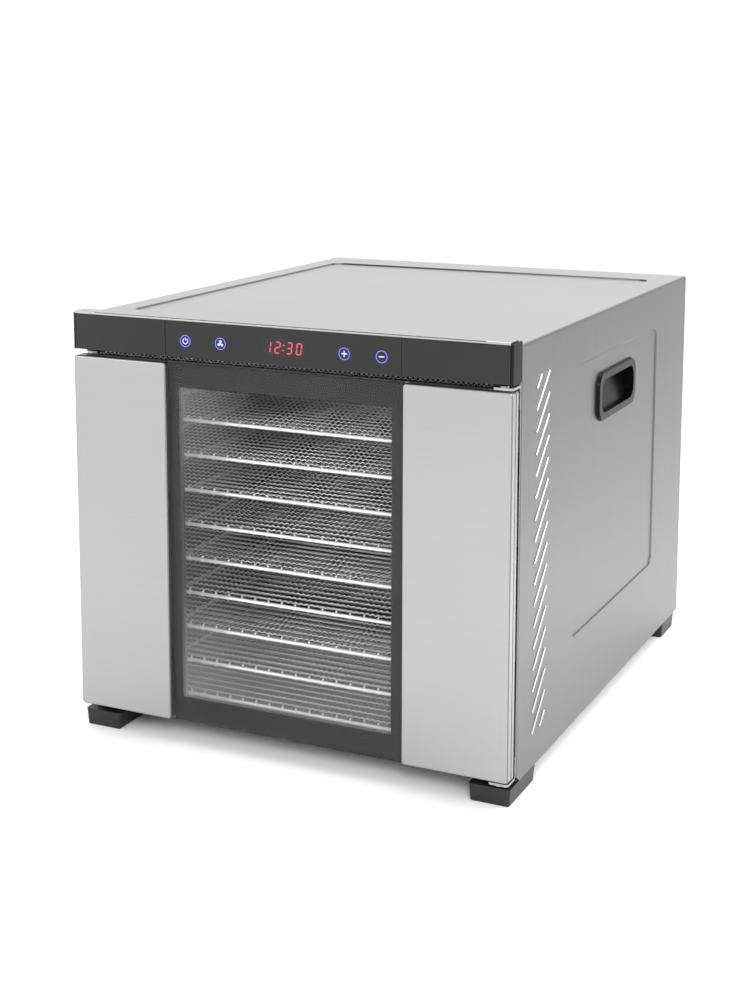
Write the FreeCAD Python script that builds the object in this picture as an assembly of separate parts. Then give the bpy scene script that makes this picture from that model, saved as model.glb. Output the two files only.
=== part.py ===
"""Cabinet food dehydrator: stainless case, hinged glass door, ten sliding wire trays, rear fan and heater.

Frame: millimetres, +Z up, origin on the floor under the middle of the case, -Y towards the user, +X to the
user's right. Every function below makes one sub-part, and main() writes each to parts/NODE.step.
"""
import FreeCAD, Part
import math
import os

V = FreeCAD.Vector

# ---- driving dimensions of the case ----
WIDTH = 430.0            # case and door
DEPTH = 541.0            # door front to case rear
FOOT_HEIGHT = 16.0
CASE_TOP = 395.0         # flat part of the lid
SHEET = 1.0              # outer sheet steel
LINER_SHEET = 0.8        # chamber sheet steel
FASCIA_DEPTH = 21.0      # door and fascia stand this far in front of the case
HALF = WIDTH / 2
FRONT = -DEPTH / 2       # front plane of the door
CASE_FRONT = FRONT + FASCIA_DEPTH
REAR = DEPTH / 2
CASE_BOTTOM = FOOT_HEIGHT
LID_LIP_TOP = 399.5      # folded front edge of the lid, over the fascia
LID_LIP_HALF = 212.7
LID_RECESS = 1.5         # depth of the lid's pressed-in panel
LID_PANEL = (190.0, FRONT + 55.0, FRONT + 491.0)      # outline of the lid's panel: half width, y0, y1
SIDE_RECESS = 1.2        # depth of each side's pressed-in panel
SIDE_PANEL = (FRONT + 160.0, FRONT + 430.0, 99.0, 355.0)        # outline of a side's panel: y0, y1, z0, z1
PRESSED_SLOPE = 2.0      # lean of the walls of both panels
PRESSED_BACK = 0.9       # the back of a panel is this much larger than its face
LID_BEND = 3.0           # outer bend radius between the lid and the sides
FRONT_BEND = 1.4         # outer bend radius at the front of each side
BOTTOM_RETURN = 41.0     # inward flange that carries the feet
FRONT_RETURN = 12.0      # inward flange at the front of each side
CLOSING_HALF = 213.8     # rear panel and base pan, inside the sheet
REAR_PANEL_Y = REAR - 4.2
REAR_SCREWS = [(x, z) for x in (-205, 0, 205) for z in (26, 386)] + [(x, 206) for x in (-205, 205)]
FOOT_SCREWS = [(sx * (HALF - 19), FRONT + y) for sx in (-1, 1) for y in (38, 506)]

# ---- front of the case ----
DOOR_BOTTOM = 23.0
DOOR_TOP = 358.5
FASCIA_BOTTOM = 364.4
FASCIA_TOP = 397.2
FRAME_Y = CASE_FRONT + SHEET          # front face of the inner frame
OPENING_HALF = 196.5                  # mouth of the drying chamber
OPENING_BOTTOM = 29.5
OPENING_TOP = 352.0
VENT_BOTTOM, VENT_TOP = 356.9, 363.6  # air gap over the door
SIDE_SLOTS = ((88, 124), (169, 224), (268, 305))      # upright slots in the case front, by height
FASCIA_HALF = 212.4
TOUCH_HALF = 115.6                    # touch panel, in a recess 0.3 mm wider on each side
FASCIA_WALL = 2.5
CAP_INNER, CAP_TOP = 212.9, 398.2     # inner face and top of the fascia's end caps
DISPLAY_X = 4.0
CABLE_X, CABLE_Z = 80.0, 380.0        # where the control cable passes through the case front
CABLE_HOLE = 5.0                      # radius
CABLE_RADIUS = 2.6
MAGNET_Z = (146.0, 246.0)

# ---- grips ----
GRIP = (FRONT + 228, FRONT + 348, 289.0, 337.0)       # outline on the side: y0, y1, z0, z1
GRIP_FLANGE = HALF + 2.0              # outer face of the flange
GRIP_DEEP = 199.6                     # inner face of the pocket's body, at its top
GRIP_SHALLOW = 207.0                  # and at its bottom
GRIP_MARGIN = 5.3                     # outline of the pocket's body, inside the flange's

# ---- drying chamber ----
CHAMBER_HALF = 197.5
CHAMBER_FLOOR = 28.5
CHAMBER_CEILING = 351.0
LINER_FRONT = FRAME_Y + SHEET
BAFFLE_Y = FRONT + 452.0
CHAMBER_BACK_Y = FRONT + 503.0

# ---- trays ----
TRAYS = 10
TRAY_PITCH = 33.1
FIRST_TRAY = 32.6                     # height of the lowest tray's rim, at the rod's middle
ROD = 1.75                            # radius of the rim rod
TRAY_HALF = 191.2                     # to the rod's middle
TRAY_FRONT = FRONT + 45.0
TRAY_REAR = FRONT + 441.0
TRAY_CORNER = 12.0
CROSS_ROD = 1.5                       # radius of the two cross rods
CROSS_INSET = 132.0
MESH_SHEET = 0.35                     # plain sheet with the woven mesh's mass
MESH_RISE = 1.2                       # its underside over the rods' middles
RUNNER_GAP = 0.3                      # under a tray rim
RUNNER_INNER = 187.5

# ---- door ----
PIVOT = V(205.0, FRONT + 7.0, 0.0)
SKIN = 0.8
SKIN_DEPTH = 7.0
DOOR_DEPTH = 14.5
STILE_INNER = 116.5
GLASS_FRONT = FRONT + 3.0
GLASS_BACK = FRONT + 7.0
GLASS_HALF = 115.9
WINDOW_HALF = 104.0
WINDOW_BOTTOM = 47.0
WINDOW_TOP = 336.0
GLASS_SEAT = 0.25                     # room for the printed border between glass and window frame
PIN_RADIUS = 2.5
PIN_CLEARANCE = 0.06

# ---- fan and heater ----
FAN_Z = 190.0
SHAFT_RADIUS = 3.0
IMPELLER_RADIUS = 72.0
IMPELLER_Y = (FRONT + 462.0, FRONT + 486.0)
MOTOR_Y = (FRONT + 504.1, FRONT + 533.0)
HEATER_RADIUS, HEATER_ROD = 92.0, 3.6
HEATER_Y = FRONT + 474.0
HEATER_HALF_GAP = math.radians(14)
HEATER_END_X = HEATER_RADIUS * math.sin(HEATER_HALF_GAP)
HEATER_END_Z = FAN_Z - HEATER_RADIUS * math.cos(HEATER_HALF_GAP)
PROBE_X, PROBE_Z = 120.0, 320.0
CUTOUT_X, CUTOUT_Z = -70.0, 290.0

# ---- electrics in the rear space ----
BOARD = (40.0, 150.0, 40.0, 118.0)    # x0, x1, z0, z1
BOARD_Y = FRONT + 511.0
BOARD_SHEET = 1.6
INLET_X, INLET_Z = -150.0, 62.0
INLET_MOUTH = REAR - 1.2
INLET_HALF_WIDTH, INLET_HALF_HEIGHT = 13.4, 9.9       # body behind the flange

# ---- louvres in the sides ----
FULL_LOUVRES = 16
LOUVRE_PITCH = 19.1
LOUVRE_FRONT = FRONT + 59.0
LOUVRE_SPAN = 29.5
LOUVRE_FIRST = 47.7                   # lower end of the lowest full louvre
LOUVRE_RISE = 28.2
LOUVRE_RADIUS = 1.4
SLIT_RADIUS = 0.7


# ---- helpers ----
def box(x0, x1, y0, y1, z0, z1):
    """Box between two corners, given in any order."""
    low = V(min(x0, x1), min(y0, y1), min(z0, z1))
    return Part.makeBox(abs(x1 - x0), abs(y1 - y0), abs(z1 - z0), low)


def cylinder(radius, start, end):
    """Round bar from start to end."""
    along = end.sub(start)
    return Part.makeCylinder(radius, along.Length, start, along)


def fuse(shapes):
    """One solid from shapes that touch or overlap."""
    return shapes[0].fuse(shapes[1:]).removeSplitter()


def group(shapes):
    """Separate solids that share a node."""
    return Part.makeCompound(shapes)


def mirrored(shape):
    """The left-hand copy of a right-hand shape."""
    return shape.mirror(V(0, 0, 0), V(1, 0, 0))


def to_space(normal, u, v, w):
    """Point from in-plane coordinates u, v and height w, for a plane normal to X, Y or Z."""
    return {"x": V(w, u, v), "y": V(u, w, v), "z": V(u, v, w)}[normal]


def rounded_wire(normal, w, u0, u1, v0, v1, radius):
    """Rectangle with rounded corners in the plane at height w."""
    k = radius * (1 - math.sqrt(0.5))

    def at(u, v):
        return to_space(normal, u, v, w)

    return Part.Wire([
        Part.LineSegment(at(u0 + radius, v0), at(u1 - radius, v0)).toShape(),
        Part.Arc(at(u1 - radius, v0), at(u1 - k, v0 + k), at(u1, v0 + radius)).toShape(),
        Part.LineSegment(at(u1, v0 + radius), at(u1, v1 - radius)).toShape(),
        Part.Arc(at(u1, v1 - radius), at(u1 - k, v1 - k), at(u1 - radius, v1)).toShape(),
        Part.LineSegment(at(u1 - radius, v1), at(u0 + radius, v1)).toShape(),
        Part.Arc(at(u0 + radius, v1), at(u0 + k, v1 - k), at(u0, v1 - radius)).toShape(),
        Part.LineSegment(at(u0, v1 - radius), at(u0, v0 + radius)).toShape(),
        Part.Arc(at(u0, v0 + radius), at(u0 + k, v0 + k), at(u0 + radius, v0)).toShape(),
    ])


def rounded_slab(normal, w0, w1, u0, u1, v0, v1, radius):
    """Plate with rounded corners between heights w0 and w1."""
    face = Part.Face(rounded_wire(normal, w0, u0, u1, v0, v1, radius))
    return face.extrude(to_space(normal, 0, 0, w1 - w0))


def raised_panel(normal, w0, w1, u0, u1, v0, v1, radius, slope):
    """Rounded pad whose sides lean in by slope from height w0 to w1."""
    base = rounded_wire(normal, w0, u0, u1, v0, v1, radius)
    top = rounded_wire(normal, w1, u0 + slope, u1 - slope, v0 + slope, v1 - slope, radius - slope)
    return Part.makeLoft([base, top], True, True)


def ring(normal, w0, w1, outer, inner, outer_radius, inner_radius):
    """Flat ring between two rounded rectangles, each (u0, u1, v0, v1)."""
    hole = rounded_slab(normal, w0 - 1, w1 + 1, *inner, inner_radius)
    return rounded_slab(normal, w0, w1, *outer, outer_radius).cut(hole)


def edges_along(shape, direction, test):
    """Straight edges of shape along direction whose middle passes test."""
    found = []
    for edge in shape.Edges:
        if edge.Curve.TypeId != "Part::GeomLine":
            continue
        if abs(edge.tangentAt(edge.FirstParameter).dot(direction)) > 0.999 and test(edge.CenterOfMass):
            found.append(edge)
    return found


def screw(head_at, into, radius=3.5, thread=1.9, length=8.0, head=2.0):
    """Pan-head screw: head_at is the seat under the head, into points the way the thread goes."""
    top = head_at.sub(V(into).multiply(head))
    tip = head_at.add(V(into).multiply(length))
    body = fuse([cylinder(radius, top, head_at), cylinder(thread, top, tip)])
    groove = cylinder(radius * 0.4, top.sub(V(into)), top.add(V(into).multiply(head * 0.5)))
    return body.cut(groove)


# ---- case ----
def louvre_lines():
    """(front low point, rear high point) of each pressed louvre, as (y, z) pairs."""
    low, high = LOUVRE_FIRST, LOUVRE_FIRST + (FULL_LOUVRES - 1) * LOUVRE_PITCH + LOUVRE_RISE
    lines = []
    for k in range(FULL_LOUVRES):
        z = LOUVRE_FIRST + k * LOUVRE_PITCH
        lines.append(((LOUVRE_FRONT, z), (LOUVRE_FRONT + LOUVRE_SPAN, z + LOUVRE_RISE)))
    # the pattern is cut off level at both ends, which leaves one short louvre at each
    short = (LOUVRE_RISE - LOUVRE_PITCH) / LOUVRE_RISE * LOUVRE_SPAN
    lines.append(((LOUVRE_FRONT, high - (LOUVRE_RISE - LOUVRE_PITCH)), (LOUVRE_FRONT + short, high)))
    end = LOUVRE_FRONT + LOUVRE_SPAN
    lines.append(((end - short, low), (end, low + LOUVRE_RISE - LOUVRE_PITCH)))
    return lines


def louvre_parts():
    """Half-round hoods of the right side's louvres, and the cutters of the slits below them."""
    hoods, slits = [], []
    for (y0, z0), (y1, z1) in louvre_lines():
        start, end = V(HALF, y0, z0), V(HALF, y1, z1)
        hoods.append(cylinder(LOUVRE_RADIUS, start, end))
        hoods += [Part.makeSphere(LOUVRE_RADIUS, p) for p in (start, end)]
        along = end.sub(start).normalize()
        below = V(0, along.z, -along.y).multiply(LOUVRE_RADIUS + SLIT_RADIUS)
        slits.append(cylinder(SLIT_RADIUS, start.add(below), end.add(below)))
    return hoods, slits


def side_recess(offset, depth):
    """Pressed-in panel of the right side, offset inwards from its outline, down to depth below the sheet."""
    y0, y1, z0, z1 = SIDE_PANEL
    outline = (y0 + offset, y1 - offset, z0 + offset, z1 - offset)
    pad = raised_panel("x", HALF - 0.5 - offset, HALF + depth, *outline, 12, PRESSED_SLOPE)
    return pad.mirror(V(HALF, 0, 0), V(1, 0, 0))


def lid_recess(offset, depth):
    """Pressed-in panel of the lid, offset inwards from its outline, down to depth below the sheet."""
    half, y0, y1 = LID_PANEL
    outline = (offset - half, half - offset, y0 + offset, y1 - offset)
    pad = raised_panel("z", CASE_TOP - 0.5 - offset, CASE_TOP + depth, *outline, 14, PRESSED_SLOPE)
    return pad.mirror(V(0, 0, CASE_TOP), V(0, 0, 1))


def lid_front():
    """Front of the lid: it steps up over the fascia and folds down at the front plane."""
    step_start, step_end = FRONT + 22.0, FRONT + 16.0
    back = CASE_FRONT + 8.0
    outer = [(FRONT, FASCIA_TOP + 0.2), (FRONT, LID_LIP_TOP), (step_end, LID_LIP_TOP), (step_start, CASE_TOP),
             (back, CASE_TOP)]
    under_lid, under_lip = CASE_TOP - SHEET, LID_LIP_TOP - SHEET
    inner = [(back, under_lid), (step_start - 0.6, under_lid), (step_end - 0.6, under_lip),
             (FRONT + SHEET, under_lip), (FRONT + SHEET, FASCIA_TOP + 0.2)]
    points = [V(-LID_LIP_HALF, y, z) for y, z in outer + inner]
    sheet = Part.Face(Part.makePolygon(points + points[:1])).extrude(V(2 * LID_LIP_HALF, 0, 0))
    nose = edges_along(sheet, V(1, 0, 0), lambda m: m.z > LID_LIP_TOP - 0.1 and m.y < FRONT + 0.1)
    return sheet.makeFillet(0.9, nose)


def corner_relief():
    """Cutter for the slanted lower front corners of the case."""
    low, high = CASE_BOTTOM - 1, CASE_BOTTOM + 7
    outline = [(CASE_FRONT - 3, low), (CASE_FRONT + 9.4, low), (CASE_FRONT - 2, high), (CASE_FRONT - 3, high)]
    points = [V(-HALF - 5, y, z) for y, z in outline]
    return Part.Face(Part.makePolygon(points + points[:1])).extrude(V(WIDTH + 10, 0, 0))


def side_slots():
    """Cutters of the upright slots beside the door, at both sides."""
    slots = [box(205.5, 213.4, CASE_FRONT - 1, FRAME_Y + 2 * SHEET, low, high) for low, high in SIDE_SLOTS]
    return slots + [mirrored(s) for s in slots]


def cable_hole(y):
    """Cutter of the control cable's hole through sheet at depth y."""
    return cylinder(CABLE_HOLE, V(CABLE_X, y - 5, CABLE_Z), V(CABLE_X, y + 5, CABLE_Z))


def outer_shell():
    """Lid and both sides, bent from one sheet, with pressed-in panels, louvres and handle cut-outs."""
    outer = box(-HALF, HALF, CASE_FRONT, REAR, CASE_BOTTOM, CASE_TOP)
    outer = outer.makeFillet(LID_BEND, edges_along(outer, V(0, 1, 0), lambda m: m.z > CASE_TOP - 1))
    outer = outer.makeFillet(FRONT_BEND, edges_along(outer, V(0, 0, 1), lambda m: m.y < CASE_FRONT + 1))
    inside, mouth_half, flange = HALF - SHEET, HALF - FRONT_RETURN, HALF - BOTTOM_RETURN
    inner = box(-inside, inside, FRAME_Y, REAR + 5, CASE_BOTTOM + SHEET, CASE_TOP - SHEET)
    shell = outer.cut(inner)
    mouth = box(-mouth_half, mouth_half, CASE_FRONT - 1, CASE_FRONT + 5, 0, FASCIA_BOTTOM - 0.6)
    underside = box(-flange, flange, CASE_FRONT - 1, REAR + 5, 0, CASE_BOTTOM + 5)
    shell = shell.cut([mouth, underside, corner_relief()] + side_slots() + foot_screw_holes())
    hoods, slits = louvre_parts()
    added = [side_recess(-PRESSED_BACK, SIDE_RECESS + SHEET)] + hoods
    removed = [side_recess(0, SIDE_RECESS)] + slits + [handle_body(0.3)]
    lid_bulge = lid_recess(-PRESSED_BACK, LID_RECESS + SHEET)
    shell = shell.fuse([lid_front(), lid_bulge] + added + [mirrored(s) for s in added])
    cable = cable_hole(CASE_FRONT)
    notch = box(-LID_LIP_HALF + 0.5, LID_LIP_HALF - 0.5, FRONT + 2, CASE_FRONT - 0.01, 380, CASE_TOP - SHEET)
    shell = shell.cut([lid_recess(0, LID_RECESS), cable, notch] + removed + [mirrored(s) for s in removed])
    return shell.removeSplitter()


def base_pan():
    """Floor of the case, on the shell's bottom flanges, with air slots under the fan."""
    y0, y1 = FRAME_Y + SHEET + 0.2, REAR_PANEL_Y - 0.3
    pan = box(-CLOSING_HALF, CLOSING_HALF, y0, y1, CASE_BOTTOM + SHEET, CASE_BOTTOM + 2 * SHEET)
    slots = [rounded_slab("z", CASE_BOTTOM, CASE_BOTTOM + 4, -70, 70, y, y + 5, 2.4)
             for y in (FRONT + 510 + 9 * k for k in range(3))]
    return pan.cut(slots + foot_screw_holes())


def rear_panel():
    """Back cover, set a little inside the shell's rear edge, with air slots and the inlet's cut-out."""
    low, high = CASE_BOTTOM + SHEET + 0.2, CASE_TOP - SHEET - 0.2
    panel = box(-CLOSING_HALF, CLOSING_HALF, REAR_PANEL_Y, REAR_PANEL_Y + SHEET, low, high)
    cuts = [rounded_slab("y", REAR - 6, REAR - 1, x0, x0 + 68, FAN_Z - 58 + 12 * k, FAN_Z - 53 + 12 * k, 2.4)
            for k in range(10) for x0 in (-74, 6)]
    dx, dz = INLET_HALF_WIDTH + 0.2, INLET_HALF_HEIGHT + 0.2
    cuts.append(box(INLET_X - dx, INLET_X + dx, REAR - 6, REAR - 1, INLET_Z - dz, INLET_Z + dz))
    cuts += [cylinder(1.7, V(x, REAR - 6, z), V(x, REAR - 1, z)) for x, z in REAR_SCREWS]
    return panel.cut(cuts)


def front_frame():
    """Inner frame that the door closes on, with the chamber mouth, a vent window and upright side slots."""
    frame = box(-213.6, 213.6, FRAME_Y, FRAME_Y + SHEET, CASE_BOTTOM + SHEET + 0.2, 392)
    mouth = box(-OPENING_HALF, OPENING_HALF, FRAME_Y - 1, FRAME_Y + 5, OPENING_BOTTOM, OPENING_TOP)
    vent = box(-188, 188, FRAME_Y - 1, FRAME_Y + 5, VENT_BOTTOM + 0.8, VENT_TOP - 0.6)
    return frame.cut([mouth, vent, cable_hole(FRAME_Y), corner_relief()] + side_slots())


def vent_grille():
    """Strip with diamond openings in the gap over the door, where moist air leaves."""
    strip = box(-202, 202, CASE_FRONT + 0.1, CASE_FRONT + 0.9, VENT_BOTTOM, VENT_TOP)
    pitch, count, half_length, half_height = 9.0, 44, 3.6, 1.2
    diamonds = []
    for row, z in enumerate((VENT_BOTTOM + 1.95, VENT_TOP - 1.95)):
        for k in range(count - row):
            x = (k - (count - 1 - row) / 2) * pitch
            corners = [V(x - half_length, CASE_FRONT - 1, z), V(x, CASE_FRONT - 1, z - half_height),
                       V(x + half_length, CASE_FRONT - 1, z), V(x, CASE_FRONT - 1, z + half_height)]
            diamonds.append(Part.Face(Part.makePolygon(corners + corners[:1])).extrude(V(0, 4, 0)))
    return strip.cut(diamonds)


def foot(x0, x1, y0, y1):
    """Tapered rubber block with a screw recess from below."""
    base = rounded_wire("z", 0, x0 + 1.2, x1 - 1.2, y0 + 1.2, y1 - 1.2, 2.0)
    top = rounded_wire("z", FOOT_HEIGHT, x0, x1, y0, y1, 2.5)
    block = Part.makeLoft([base, top], True, True)
    low = [e for e in block.Edges if e.BoundBox.ZMax < 0.01]
    block = block.makeChamfer(0.8, low)
    middle = V((x0 + x1) / 2, (y0 + y1) / 2, 0)
    recess = cylinder(5.0, middle.sub(V(0, 0, 1)), middle.add(V(0, 0, 9)))
    bore = cylinder(2.1, middle, middle.add(V(0, 0, FOOT_HEIGHT + 1)))
    return block.cut([recess, bore])


def feet(y0, y1):
    """Left and right foot of one pair."""
    right = foot(HALF - 38, HALF, y0, y1)
    return group([right, mirrored(right)])


def foot_screw_holes():
    """Cutters for the foot screws' clearance holes."""
    return [cylinder(2.0, V(x, y, 10), V(x, y, 30)) for x, y in FOOT_SCREWS]


def foot_screws():
    """Screws that hold the feet, heads up inside the recesses."""
    return group([screw(V(x, y, 9), V(0, 0, 1), radius=4.0, length=11) for x, y in FOOT_SCREWS])


# ---- grips ----
def grip_wedge(top_x, bottom_x, margin, out_x):
    """Prism that is deeper at the top than at the bottom, inside the grip's outline less margin."""
    y0, y1, z0, z1 = GRIP
    points = [V(out_x, y0 + margin, z0 + margin), V(bottom_x, y0 + margin, z0 + margin),
              V(top_x, y0 + margin, z1 - margin), V(out_x, y0 + margin, z1 - margin)]
    prism = Part.Face(Part.makePolygon(points + points[:1])).extrude(V(0, y1 - y0 - 2 * margin, 0))
    outline = (y0 + margin, y1 - margin, z0 + margin, z1 - margin)
    return prism.common(rounded_slab("x", top_x - 5, out_x + 5, *outline, 12))


def handle_body(grow):
    """Outside of the grip's pocket, grown to cut its opening in the case."""
    return grip_wedge(GRIP_DEEP - grow, GRIP_SHALLOW - grow, GRIP_MARGIN - 0.3 - grow, HALF + 4)


def side_handle():
    """Moulded finger grip of the right side: a flange with a pocket that is deepest at the top."""
    y0, y1, z0, z1 = GRIP
    flange = raised_panel("x", HALF - SIDE_RECESS + 0.05, GRIP_FLANGE, y0, y1, z0, z1, 15, 1.4)
    body = fuse([flange, grip_wedge(GRIP_DEEP, GRIP_SHALLOW, GRIP_MARGIN, HALF + 2)])
    pocket = grip_wedge(GRIP_DEEP + 1.6, GRIP_SHALLOW + 2.4, GRIP_MARGIN + 2.7, GRIP_FLANGE + 5)
    return body.cut(pocket)


# ---- fascia ----
def control_fascia():
    """Black front strip over the door, open at the back, with a recess for the touch panel."""
    body = box(-FASCIA_HALF, FASCIA_HALF, FRONT, CASE_FRONT - 0.1, FASCIA_BOTTOM, FASCIA_TOP)
    body = body.makeFillet(1.0, edges_along(body, V(1, 0, 0), lambda m: m.y < FRONT + 1))
    hollow = box(-210, 210, FRONT + FASCIA_WALL, CASE_FRONT + 1, FASCIA_BOTTOM + 2, FASCIA_TOP - 5)
    lid_step = box(-213, 213, FRONT + 13.5, CASE_FRONT + 1, FASCIA_TOP - 3.5, FASCIA_TOP + 1)
    half = TOUCH_HALF + 0.3
    recess = box(-half, half, FRONT - 1, FRONT + 1.6, FASCIA_BOTTOM - 1, FASCIA_TOP + 1)
    window = box(-106, 106, FRONT - 1, FRONT + 5, FASCIA_BOTTOM + 4, FASCIA_TOP - 4)
    return body.cut([hollow, lid_step, recess, window])


def touch_panel():
    """Smoked cover over the display and the touch fields, flush with the fascia."""
    panel = box(-TOUCH_HALF, TOUCH_HALF, FRONT, FRONT + 1.5, FASCIA_BOTTOM + 0.1, FASCIA_TOP - 0.1)
    return panel.makeFillet(0.5, edges_along(panel, V(0, 0, 1), lambda m: m.y < FRONT + 0.5))


def fascia_caps():
    """Ends of the fascia with rounded front corners; the left one has a strip over the case's edge."""
    cap = box(CAP_INNER, HALF, FRONT + 0.4, CASE_FRONT - 0.1, FASCIA_BOTTOM - 0.2, CAP_TOP)
    cap = cap.makeFillet(1.4, edges_along(cap, V(0, 0, 1), lambda m: m.y < FRONT + 1 and m.x > 214))
    y0, y1 = CASE_FRONT - 1.2, CASE_FRONT - 0.1
    strip = box(-HALF + 1, -OPENING_HALF - 0.5, y0, y1, DOOR_TOP + 0.8, FASCIA_BOTTOM - 0.2)
    return group([cap, fuse([mirrored(cap), strip])])


def display_board():
    """Circuit board behind the touch panel."""
    return box(-104, 104, FRONT + 9.0, FRONT + 10.6, 370, 392)


def display_module():
    """Four-digit LED display on the board."""
    return box(DISPLAY_X - 20, DISPLAY_X + 20, FRONT + 2.2, FRONT + 9.0, 372, 388)


# ---- chamber ----
def chamber_side():
    """Right-hand wall of the drying chamber."""
    x0, x1 = CHAMBER_HALF, CHAMBER_HALF + LINER_SHEET
    return box(x0, x1, LINER_FRONT, CHAMBER_BACK_Y, CHAMBER_FLOOR, CHAMBER_CEILING)


def chamber_floor():
    """Floor of the drying chamber, with a turned-up edge at the mouth."""
    half = CHAMBER_HALF + LINER_SHEET
    return box(-half, half, LINER_FRONT, CHAMBER_BACK_Y, CHAMBER_FLOOR - LINER_SHEET, CHAMBER_FLOOR)


def chamber_ceiling():
    """Ceiling of the drying chamber."""
    half = CHAMBER_HALF + LINER_SHEET
    return box(-half, half, LINER_FRONT, CHAMBER_BACK_Y, CHAMBER_CEILING, CHAMBER_CEILING + LINER_SHEET)


def chamber_back():
    """Rear wall behind the fan, with holes for the shaft and the heater's terminals."""
    half = CHAMBER_HALF + LINER_SHEET
    wall = box(-half, half, CHAMBER_BACK_Y, CHAMBER_BACK_Y + SHEET, CHAMBER_FLOOR - LINER_SHEET,
               CHAMBER_CEILING + LINER_SHEET)
    shaft = cylinder(6, V(0, CHAMBER_BACK_Y - 5, FAN_Z), V(0, CHAMBER_BACK_Y + 5, FAN_Z))
    y0, y1 = CHAMBER_BACK_Y - 2, CHAMBER_BACK_Y + 3
    inlets = [rounded_slab("y", y0, y1, x - 3, x + 3, FAN_Z - 24, FAN_Z + 24, 2.9)
              for x in (-62, -52, 52, 62)]
    leads = [cylinder(4.3, V(x, CHAMBER_BACK_Y - 5, HEATER_END_Z), V(x, CHAMBER_BACK_Y + 5, HEATER_END_Z))
             for x in (-HEATER_END_X, HEATER_END_X)]
    return wall.cut([shaft] + inlets + leads)


def air_baffle():
    """Slotted plate between the fan space and the trays."""
    plate = box(-CHAMBER_HALF + 0.3, CHAMBER_HALF - 0.3, BAFFLE_Y, BAFFLE_Y + SHEET, CHAMBER_FLOOR + 0.3,
                CHAMBER_CEILING - 0.3)
    slots = []
    for k in range(TRAYS):
        z = FIRST_TRAY + k * TRAY_PITCH + 9
        slots += [rounded_slab("y", BAFFLE_Y - 2, BAFFLE_Y + 3, x, x + 52, z, z + 6, 2.9)
                  for x in (-176, -116, -56, 4, 64, 124)]
    return plate.cut(slots)


def tray_rack():
    """Right-hand rack: a plate with one ledge under each tray's rim."""
    y0, y1 = LINER_FRONT + 6, BAFFLE_Y - 4
    x0, x1 = CHAMBER_HALF - LINER_SHEET, CHAMBER_HALF - 0.05
    plate = box(x0, x1, y0, y1, CHAMBER_FLOOR + 0.5, CHAMBER_CEILING - 1)
    ledges = []
    for k in range(TRAYS):
        top = FIRST_TRAY + k * TRAY_PITCH - ROD - RUNNER_GAP
        ledges.append(box(RUNNER_INNER, x1, y0, y1, top - 1.0, top))
    return fuse([plate] + ledges)


def tray_rim():
    """Rod loop of a tray at height 0: four straight rods and four bent corners."""
    x, y0, y1, c = TRAY_HALF, TRAY_FRONT, TRAY_REAR, TRAY_CORNER
    pieces = [cylinder(ROD, V(sx * x, y0 + c, 0), V(sx * x, y1 - c, 0)) for sx in (-1, 1)]
    pieces += [cylinder(ROD, V(c - x, y, 0), V(x - c, y, 0)) for y in (y0, y1)]
    for sx, y, turn in ((1, y1 - c, 0), (-1, y1 - c, 90), (-1, y0 + c, 180), (1, y0 + c, 270)):
        bend = Part.makeTorus(c, ROD, V(0, 0, 0), V(0, 0, 1), -180, 180, 90)
        bend.rotate(V(0, 0, 0), V(0, 0, 1), turn)
        bend.translate(V(sx * (x - c), y, 0))
        pieces.append(bend)
    return pieces


def tray():
    """Tray at height 0: rod rim, two cross rods and the mesh as a plain sheet on top of them."""
    cross = [cylinder(CROSS_ROD, V(-TRAY_HALF, y, 0), V(TRAY_HALF, y, 0))
             for y in (TRAY_FRONT + CROSS_INSET, TRAY_REAR - CROSS_INSET)]
    outline = (-TRAY_HALF, TRAY_HALF, TRAY_FRONT, TRAY_REAR)
    mesh = rounded_slab("z", MESH_RISE, MESH_RISE + MESH_SHEET, *outline, TRAY_CORNER)
    return fuse(tray_rim() + cross + [mesh])


def trays():
    """All the trays by node name, lowest first."""
    first = tray()
    return {f"tray_{k + 1:02d}": first.translated(V(0, 0, FIRST_TRAY + k * TRAY_PITCH)) for k in range(TRAYS)}


# ---- fan, heater and rear space ----
def impeller():
    """Radial fan wheel: hub, back disc and curved-back blades."""
    y0, y1 = IMPELLER_Y
    hub = cylinder(13, V(0, y0, FAN_Z), V(0, y1, FAN_Z))
    disc = cylinder(IMPELLER_RADIUS, V(0, y1 - 1.2, FAN_Z), V(0, y1, FAN_Z))
    blades = []
    for k in range(8):
        blade = box(-0.6, 0.6, y0, y1 - 0.6, FAN_Z + 18, FAN_Z + IMPELLER_RADIUS - 1)
        blade.rotate(V(0, 0, FAN_Z + 18), V(0, 1, 0), 28)
        blade.rotate(V(0, 0, FAN_Z), V(0, 1, 0), 45 * k)
        blades.append(blade)
    bore = cylinder(SHAFT_RADIUS + 0.02, V(0, y0 - 1, FAN_Z), V(0, y1 + 1, FAN_Z))
    eye = cylinder(IMPELLER_RADIUS, V(0, y0 - 1, FAN_Z), V(0, y1 + 1, FAN_Z))
    return fuse([hub, disc] + blades).common(eye).cut(bore)


def motor_shaft():
    """Shaft from the motor to the fan wheel."""
    return cylinder(SHAFT_RADIUS, V(0, IMPELLER_Y[0] - 7, FAN_Z), V(0, MOTOR_Y[1] - 3, FAN_Z))


def hub_nut():
    """Hexagon nut on the front of the shaft."""
    y = IMPELLER_Y[0] - 5.5
    turns = [math.radians(60 * k) for k in range(7)]
    corners = [V(7 * math.cos(a), y, FAN_Z + 7 * math.sin(a)) for a in turns]
    nut = Part.Face(Part.makePolygon(corners)).extrude(V(0, 5.4, 0))
    return nut.cut(cylinder(SHAFT_RADIUS + 0.02, V(0, y - 1, FAN_Z), V(0, y + 7, FAN_Z)))


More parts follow.
